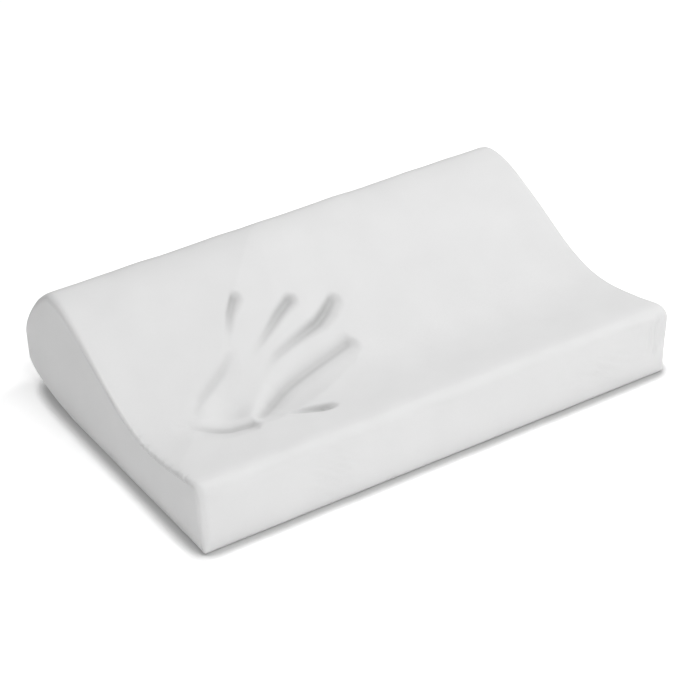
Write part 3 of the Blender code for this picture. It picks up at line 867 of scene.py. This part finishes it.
# Satin ribbon, woven with long floats: a soft shine across fine lengthwise ribs.
def wovenSatinRibbon(look):
    sockets = {"Sheen Weight": 0.3, "Anisotropic": 0.5, "Specular IOR Level": 0.5}
    material, tree, shader = newMaterial("wovenSatinRibbon", look["colour"], 0.42, **sockets)
    spot = addNode(tree, "TexCoord", {}, "Object")
    axes = addNode(tree, "SeparateXYZ", {0: spot}).node.outputs
    rib = waveOf(tree, axes["X"], 1 / (look["ribSpacing"] * mm))
    weft = waveOf(tree, axes["Z"], 1 / (look["weftSpacing"] * mm))
    height = addNode(tree, "Math", {0: weft, 1: 0.5, 2: rib}, operation="MULTIPLY_ADD")
    uneven = addNode(tree, "TexNoise", sized(spot, look["unevenSize"]))
    finishSurface(tree, shader, look, [(height, look["ribDepth"] / 2)], uneven, (0.36, 0.5))
    return material


coverCloth = knittedPolyester("knittedPolyesterCover", coverKnit)
linerCloth = knittedPolyester("warpKnittedLiner", linerKnit)
foam = mouldedMemoryFoam({
    "colour": "#efece2",
    "shadeColour": "#e6e2d4",
    "cellSize": 1.6,  # real cells are 0.3, too fine to show
    "cellDepth": 0.25,
    "skinSize": 14.0,
    "skinDepth": 0.15,
})
thread = spunPolyesterThread({
    "colour": "#e9e9e9",
    "shadeColour": "#d5d5d5",
    "twist": 0.6,
    "plyDepth": 0.05,
    "fibreSize": 0.15,
})
tapeWeave = wovenPolyesterTape({
    "colour": "#e4e4e4",
    "shadeColour": "#d3d3d3",
    "ribSpacing": 1.4,
    "pickSpacing": 0.7,
    "weaveDepth": 0.06,
    "fuzzSize": 0.4,
})
nylon = drawnNylonCoil({"colour": "#ececec", "shadeColour": "#dedede", "markSize": 0.5, "markDepth": 0.01})
nickel = nickelPlatedZinc({
    "colour": "#d6d5d2",
    "shadeColour": "#bdbcb9",
    "peelSize": 0.5,
    "peelDepth": 0.006,
    "smudgeSize": 2.5,
})
satin = wovenSatinRibbon({
    "colour": "#f2f2f2",
    "shadeColour": "#e8e8e8",
    "ribSpacing": 0.35,
    "weftSpacing": 0.7,
    "ribDepth": 0.02,
    "unevenSize": 6.0,
})
print("materials ready")


def declare(piece, body, slotName, *nodes):
    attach(piece, body)
    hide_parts(*nodes)
    return piece


def everyOther(values, axis=0):
    count = values.shape[axis]
    index = sorted(set(range(0, count, 2)) | {count - 1})
    return np.take(values, index, axis=axis)


# The moulded core, closed: an end, the wrap and the other end as one ring of columns.
def makeFoam():
    depth = layers["foam"]
    left, right = (endGrid(side, depth) for side in (-1, 1))
    whole = np.concatenate([left[:, ::-1], everyOther(wrapGrid(range(rowCount), depth), 1), right], axis=1)
    whole = everyOther(whole)
    faces = gridQuads(*whole.shape[:2], closed=True)
    core = meshObject("foam_core_moulded", whole.reshape(-1, 3), faces, foam)
    declare(core, "pillow", "foam", "foam_core")
    return core


# A cloth's two end panels, with their faces at these depths.
def makeEnds(layer, cloth, depths, thin, spine=False):
    for side, word in ((-1, "left"), (1, "right")):
        name = f"{layer}_end_{word}"
        outer, inner = (thin(endGrid(side, depth)) for depth in depths)
        place = np.roll(outer, -1, axis=2) * (1, 1, 0)
        panel = clothBetween(name + "_cloth", outer, inner, cloth, place, closed=True, spine=spine)
        declare(panel, "pillow", layer, name)


def makeLiner():
    depth, under = layers["liner"], layers["liner"] + layers["linerThickness"]
    index = everyOther(np.arange(rowCount))
    outer, inner = (everyOther(wrapGrid(index, d), 1) for d in (depth, under))
    wrap = clothBetween("liner_wrap_cloth", outer, inner, linerCloth, placeOnCloth(outer, index), closed=True)
    declare(wrap, "pillow", "liner", "liner_wrap")
    makeEnds("liner", linerCloth, (depth, under), everyOther)


def makeCover():
    thick = layers["coverThickness"]
    every = np.arange(rowCount)
    for name, index in (("top", every[topStart:]), ("base", every[:topStart])):
        outer, inner = wrapGrid(index, 0.0), wrapGrid(index, thick)
        inWindow = offZip[index] < pillowShape["windowHeight"] / 2 - 1e-5
        rowsOut = inWindow[:-1] | inWindow[1:]
        middleX = (outer[:-1, 1:, 0] + outer[:-1, :-1, 0]) / 2
        keep = ~(rowsOut[:, None] & (np.abs(middleX) < zipHalf))
        place = placeOnCloth(outer, index)
        panel = clothBetween(f"cover_{name}_panel_cloth", outer, inner, coverCloth, place, keep=keep)
        declare(panel, "pillow", "cover", f"cover_{name}_panel")
    makeEnds("cover", coverCloth, (0.0, thick), np.asarray, spine=True)


# Faces of a tube through rings of points, and its two caps. first is the number of its first point.
def tubeFaces(rings, sides, first):
    i, j = np.meshgrid(np.arange(rings - 1), np.arange(sides), indexing="ij")
    a, b = first + i * sides + j, first + i * sides + (j + 1) % sides
    walls = np.stack([a, b, b + sides, a + sides], -1).reshape(-1, 4).tolist()
    start, end = range(first, first + sides), range(first + (rings - 1) * sides, first + rings * sides)
    return walls + [list(start)[::-1], list(end)]


# Tubes round paths of points: sections x points each, with a radius at each point.
def tubes(paths, radiiAlong, sides, upward):
    pathCount, steps = paths.shape[:2]
    ahead = unit(np.gradient(paths, axis=1))
    across = unit(np.cross(ahead, upward))
    over = np.cross(across, ahead)
    angles = np.linspace(0, 2 * math.pi, sides, endpoint=False)
    ring = np.cos(angles)[:, None] * across[:, :, None] + np.sin(angles)[:, None] * over[:, :, None]
    points = paths[:, :, None] + radiiAlong[None, :, None, None] * ring
    faces = [face for k in range(pathCount) for face in tubeFaces(steps, sides, k * steps * sides)]
    return points.reshape(-1, 3), faces


stitchLook = {
    "length": 0.0027,
    "gap": 0.0005,
    "radius": 0.00021,
    "dip": 0.00035,
    "rise": 0.00012,
    "sides": 6,
    "fromHem": 0.001,  # a rear seam's first stitch starts this far past the zip's window
    "fromEnd": 0.002,  # and its last stops this far before the end seam
}


# A row of lockstitches along a line of points, each arched between the holes where it goes in.
def stitchRow(name, path, outward, closed=False):
    look = stitchLook
    if closed:
        path, outward = np.vstack([path, path[:1]]), np.vstack([outward, outward[:1]])
    reach = np.concatenate([[0], np.cumsum(np.linalg.norm(np.diff(path, axis=0), axis=1))])
    count = max(1, int(reach[-1] / (look["length"] + look["gap"])))
    pitch = reach[-1] / count
    share = np.array([0, 0.12, 0.35, 0.65, 0.88, 1.0])
    starts = np.arange(count) * pitch + look["gap"] / 2
    at = starts[:, None] + share[None] * (pitch - look["gap"])
    lift = look["rise"] * np.sin(math.pi * share) ** 0.6 - look["dip"] * (1 - np.sin(math.pi * share)) ** 4
    centre = np.stack([np.interp(at, reach, path[:, k]) for k in range(3)], -1)
    out = unit(np.stack([np.interp(at, reach, outward[:, k]) for k in range(3)], -1))
    radiiAlong = look["radius"] * np.array([0.55, 0.9, 1, 1, 0.9, 0.55])
    points, faces = tubes(centre + lift[None, :, None] * out, radiiAlong, look["sides"], out)
    return meshObject(name, points, faces, thread, sharpAngle=70)


# Stitches along a straight seam that faces out as this row does. Each of x, y and z is one value or many.
def straightStitches(name, x, y, z, row):
    path = np.stack(np.broadcast_arrays(x, y, z), axis=-1)
    outward = np.tile([[0, *normals[row]]], (len(x), 1))
    declare(stitchRow(name + "_stitches", path, outward), "pillow", "thread", name)


def makeSeams():
    every, ones = np.arange(rowCount)[:, None], np.ones((rowCount, 1))
    low, look = seamLook["threadDepth"], stitchLook
    for side, word in ((-1, "left"), (1, "right")):
        seam = (every, side * ones, seamLook["turn"] * ones)
        path, deeper = (layerPoint(*seam, depth)[:, 0] for depth in (low, low + mm))
        ring = stitchRow(f"end_seam_{word}_stitches", path, path - deeper, closed=True)
        declare(ring, "pillow", "thread", f"end_seam_{word}")
    reaches = (halfLength - radii[:, row].max() * (1 - math.sin(seamLook["turn"])) for row in (topStart, 0))
    rear, front = (reach - look["fromEnd"] for reach in reaches)
    for side, word in ((-1, "left"), (1, "right")):
        x = side * np.linspace(zipHalf + look["fromHem"], rear, 30)
        straightStitches(f"rear_seam_{word}", x, rearY - low, pillowShape["zipHeight"], topStart)
    y = frontY + pillowShape["frontBaseRadius"]
    straightStitches("front_seam", np.linspace(-front, front, 60), y, low + look["radius"], 0)
    for word in ("upper", "lower"):
        start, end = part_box(f"zip_stitching_{word}")
        x = np.linspace(start.x, end.x, 200)
        z = (start.z + end.z) / 2
        row = int(np.argmin(np.where(onRear, np.abs(rows[:, 1] - z), 9)))
        y = rearY - setBack(x, row, 0.0) + look["radius"] * 0.4
        straightStitches(f"zip_stitching_{word}", x, y, z, row)


# Points of the zip: u along the pillow, v off its middle, w out from the cover's rear face.
def zipPoints(u, v, w):
    u, v, w = np.broadcast_arrays(u, v, w)
    return np.stack([u, rearY + w, pillowShape["zipHeight"] + v], axis=-1)


tapeLook = {
    "nearEdge": 0.00065,
    "farEdge": 0.0125,
    "face": -0.0013,
    "back": -0.00185,
    "ribs": 5,
    "ribHeight": 0.00006,
}


def makeTapes():
    look = tapeLook
    for word, side in (("upper", 1), ("lower", -1)):
        v = np.linspace(look["nearEdge"], look["farEdge"], 26)
        ribs = look["ribHeight"] * np.sin(2 * math.pi * look["ribs"] * np.linspace(0, 1, 26)) ** 2
        u = np.linspace(-tapeHalf, tapeHalf, 90)[:, None]
        outer = zipPoints(u, side * v[None], look["face"] - look["ribHeight"] + ribs[None])
        inner = zipPoints(u, side * v[None], look["back"])
        place = np.roll(outer, 1, axis=2)
        tape = clothBetween(f"zip_tape_{word}_woven", outer, inner, tapeWeave, place)
        declare(tape, "pillow", "zip_tape", f"zip_tape_{word}")


coilLook = {
    "pitch": 0.0013,  # a size 5 chain
    "wireRadius": 0.0003,
    "near": 0.00012,  # heads nearly meet over the tapes' edges
    "far": 0.0026,
    "low": -0.00095,
    "high": 0.00085,
    "headSwell": 0.22,
    "stepsPerTurn": 10,
    "sides": 5,
    "startGap": 0.0024,  # the chain starts behind the slider's nose
}


def makeCoils():
    look = coilLook
    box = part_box("zip_coil_upper")
    first, last = box[0].x + look["startGap"], box[1].x
    turns = int((last - first) / look["pitch"])
    r = look["wireRadius"]
    t = np.linspace(0, turns, turns * look["stepsPerTurn"] + 1)
    turn = 2 * math.pi * t
    halfV, halfW = (look["far"] - look["near"]) / 2 - r, (look["high"] - look["low"]) / 2 - r
    midV, midW = (look["far"] + look["near"]) / 2, (look["high"] + look["low"]) / 2
    swell = r * (1 + look["headSwell"] * (ramp(np.cos(turn)) ** 4) - look["headSwell"] * 0.5)
    for word, side in (("upper", 1), ("lower", -1)):
        offset = 0.0 if side > 0 else look["pitch"] / 2
        u = first + offset + r + t * look["pitch"] * 0.99
        path = zipPoints(u, side * (midV - halfV * np.cos(turn)), midW + halfW * np.sin(turn))
        points, faces = tubes(path[None], swell, look["sides"], np.array([1.0, 0.02, 0.01]))
        coil = meshObject(f"zip_coil_{word}_wound", points, faces, nylon, sharpAngle=80)
        declare(coil, "pillow", "zip_coil", f"zip_coil_{word}")


# A flat plate with rounded edges, cut to these loops of (u, v); the second and later loops are holes.
def plateMesh(loops, low, high, bevel):
    curve = bpy.data.curves.new("plate", "CURVE")
    curve.dimensions = "2D"
    curve.fill_mode = "BOTH"
    curve.extrude = (high - low) / 2 - bevel
    curve.bevel_depth = bevel
    curve.bevel_resolution = 2
    curve.offset = -bevel
    for loop in loops:
        spline = curve.splines.new("POLY")
        spline.points.add(len(loop) - 1)
        places = np.column_stack([loop, np.zeros(len(loop)), np.ones(len(loop))])
        spline.points.foreach_set("co", places.ravel())
        spline.use_cyclic_u = True
    holder = bpy.data.objects.new("plate", curve)
    mesh = bpy.data.meshes.new_from_object(holder)
    bpy.data.objects.remove(holder)
    co = np.array([v.co for v in mesh.vertices])
    faces = [list(p.vertices) for p in mesh.polygons]
    return zipPoints(co[:, 0], co[:, 1], co[:, 2] + (low + high) / 2), faces


def joinParts(name, parts, material, sharpAngle=35):
    points, faces, total = [], [], 0
    for partPoints, partFaces in parts:
        points.append(partPoints)
        faces += [[i + total for i in face] for face in partFaces]
        total += len(partPoints)
    return meshObject(name, np.concatenate(points), faces, material, sharpAngle)


# A loop round a rectangle from (u0, v0) to (u1, v1) with round corners.
def roundedLoop(u0, v0, u1, v1, radius, steps=6):
    right, left, top, bottom = u1 - radius, u0 + radius, v1 - radius, v0 + radius
    points = []
    for k, (u, v) in enumerate(((right, top), (left, top), (left, bottom), (right, bottom))):
        angles = np.linspace(0, math.pi / 2, steps) + k * math.pi / 2
        points.append(np.column_stack([u + radius * np.cos(angles), v + radius * np.sin(angles)]))
    return np.concatenate(points)


sliderLook = {
    "noseHalfWidth": 0.0026,
    "shoulderHalfWidth": 0.0039,
    "shoulderAt": 0.24,  # a share of its length
    "tailHalfWidth": 0.0034,
    "roof": (0.0012, 0.0021),
    "floor": (-0.00305, -0.00215),
    "lap": 0.0002,  # the divider runs this far into both
    "flange": (-0.0009, 0.0014),
    "flangeWidth": 0.0006,
    "flangeEnds": (0.0016, 0.0003),  # off the slider's nose and tail
    "edge": 0.00022,
    "dividerHalf": 0.00009,
    "dividerStart": 0.0004,
    "dividerLength": 0.0014,
    "archHalf": 0.00173,  # hinge to the middle of each leg
    "archHeight": 0.00443,
    "archFoot": 0.0019,
    "archWire": (0.00036, 0.00058),  # half thickness, half width
}


def sliderOutline(look):
    low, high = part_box("zip_slider")
    share = np.linspace(0, 1, 25)
    shoulder = look["shoulderAt"]
    rise = np.sin(ramp(share, shoulder) * math.pi / 2)
    fall = ramp(share - shoulder, 1 - shoulder)
    nose = look["noseHalfWidth"] + (look["shoulderHalfWidth"] - look["noseHalfWidth"]) * rise
    half = nose + (look["tailHalfWidth"] - look["shoulderHalfWidth"]) * fall
    tail = np.sqrt(1 - 0.35 * ramp(share - 0.93, 0.07) ** 2)
    u = low.x + (high.x - low.x) * share
    return np.concatenate([np.column_stack([u, half * tail]), np.column_stack([u, -half * tail])[::-1]])


# A square wire bent along a path in the plane of u and w.
def bentWire(path, thick, wide):
    ahead = unit(np.gradient(path, axis=0))
    side = np.column_stack([-ahead[:, 1], ahead[:, 0]])
    angles = np.linspace(0, 2 * math.pi, 12, endpoint=False) + math.pi / 12
    across = np.sign(np.cos(angles)) * np.abs(np.cos(angles)) ** 0.5 * thick
    v = np.sign(np.sin(angles)) * np.abs(np.sin(angles)) ** 0.5 * wide
    u = path[:, None, 0] + side[:, None, 0] * across
    w = path[:, None, 1] + side[:, None, 1] * across
    points = zipPoints(u, v[None], w).reshape(-1, 3)
    return points, tubeFaces(len(path), len(angles), 0)


def makeSlider():
    look = sliderLook
    low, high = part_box("zip_slider")
    middle = (low.x + high.x) / 2
    parts = [plateMesh([sliderOutline(look)], *look[key], look["edge"]) for key in ("roof", "floor")]
    fromNose, fromTail = look["flangeEnds"]
    for side in (-1, 1):
        v0, v1 = sorted(side * (look["tailHalfWidth"] - step) for step in (0.0, look["flangeWidth"]))
        rail = roundedLoop(low.x + fromNose, v0, high.x - fromTail, v1, 0.00025)
        parts.append(plateMesh([rail], *look["flange"], 0.0001))
    half, start = look["dividerHalf"], low.x + look["dividerStart"]
    divider = roundedLoop(start, -half, start + look["dividerLength"], half, half * 0.9)
    bottom, top = look["floor"][1] - look["lap"], look["roof"][0] + look["lap"]
    parts.append(plateMesh([divider], bottom, top, 0.00002))
    t = np.linspace(0, math.pi, 17)
    arch = np.column_stack([
        middle - look["archHalf"] * np.sign(np.cos(t)) * np.abs(np.cos(t)) ** 0.6,
        look["archFoot"] + (look["archHeight"] - look["archFoot"]) * np.sin(t) ** 0.6,
    ])
    parts.append(bentWire(arch, *look["archWire"]))
    slider = joinParts("zip_slider_cast", parts, nickel)
    declare(slider, "slider", "zip_metal", "zip_slider")


tabLook = {
    "edge": 0.00018,
    "windowHalf": 0.0014,
    "bar": 0.00045,  # hinge axis to the window
    "windowLength": 0.0036,
    "webHalfThickness": 0.00028,
    "rimWidth": 0.0008,
    "holeRadius": 0.0009,
}


def makePullTab():
    look = tabLook
    low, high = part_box("pull_tab")
    hinge = next(j for j in frame["joints"] if j["child"] == "pull")["pos_m"]
    midW = hinge[1] - rearY
    halfV, halfW = (high.z - low.z) / 2, (high.y - low.y) / 2
    windowStart = hinge[0] + look["bar"]
    windowEnd = windowStart + look["windowLength"]
    outline = roundedLoop(low.x, -halfV, high.x, halfV, 0.0016)
    window = roundedLoop(windowStart, -look["windowHalf"], windowEnd, look["windowHalf"], 0.0005)[::-1]
    panelStart, rim = windowEnd + look["rimWidth"], look["rimWidth"]
    panel = roundedLoop(panelStart, -halfV + rim, high.x - rim, halfV - rim, 0.0009)[::-1]
    outer = plateMesh([outline, window, panel], midW - halfW, midW + halfW, look["edge"])
    lap = 0.0002  # the web runs this far into the rim
    inside = roundedLoop(panelStart - lap, -halfV + rim - lap, high.x - rim + lap, halfV - rim + lap, 0.001)
    holeMid, r = high.x - rim - 0.0026, look["holeRadius"]
    hole = roundedLoop(holeMid - r, -r, holeMid + r, r, r * 0.98, 9)[::-1]
    web = plateMesh([inside, hole], midW - look["webHalfThickness"], midW + look["webHalfThickness"], 0.00005)
    tab = joinParts("pull_tab_cast", [outer, web], nickel)
    declare(tab, "pull", "zip_metal", "pull_tab")


stopLook = {"edge": 0.00025, "waist": 0.0003}


def makeStops():
    for name in ("zip_top_stop_upper", "zip_top_stop_lower", "zip_bottom_stop"):
        low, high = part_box(name)
        v0, v1 = low.z - pillowShape["zipHeight"], high.z - pillowShape["zipHeight"]
        w0, w1 = low.y - rearY, high.y - rearY
        middle, gap = (low.x + high.x) / 2, stopLook["waist"] / 2
        edge = stopLook["edge"]
        halves = ((low.x, middle - gap), (middle + gap, high.x))
        parts = [plateMesh([roundedLoop(u0, v0, u1, v1, 0.0004)], w0, w1, edge) for u0, u1 in halves]
        core = roundedLoop(low.x + edge, v0 + edge, high.x - edge, v1 - edge, 0.0003)
        parts.append(plateMesh([core], w0 + 0.0002, w1 - 0.0002, 0.0001))
        declare(joinParts(name + "_clamped", parts, nickel), "pillow", "zip_metal", name)


labelLook = {"thickness": 0.00022, "curl": 0.0012, "wave": 0.00025, "lift": 0.00034}


def makeLabel():
    low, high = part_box("care_label")
    look = labelLook
    down = np.linspace(0, 1, 40)[:, None]
    across = np.linspace(0, 1, 28)[None]
    z = high.z + (low.z - high.z) * down
    x = low.x + (high.x - low.x) * across
    wave = look["wave"] * down * (1 + np.sin(5.5 * across + 2.0 * down))
    out = look["lift"] + look["curl"] * down**3 + wave
    faces = (rearY + out + step for step in (look["thickness"], 0))
    outer, inner = (np.stack(np.broadcast_arrays(x, y, z), -1) for y in faces)
    label = clothBetween("care_label_ribbon", outer, inner, satin, np.roll(outer, 1, axis=2))
    declare(label, "pillow", "label", "care_label")


makeStudio(studio)
placeCamera(cameraLook)
print("studio ready")
foamCore = makeFoam()
makeLiner()
makeCover()
print("foam, liner and cover ready")
makeSeams()
makeTapes()
makeCoils()
makeStops()
makeSlider()
makePullTab()
makeLabel()
print("seams, zip and label ready")
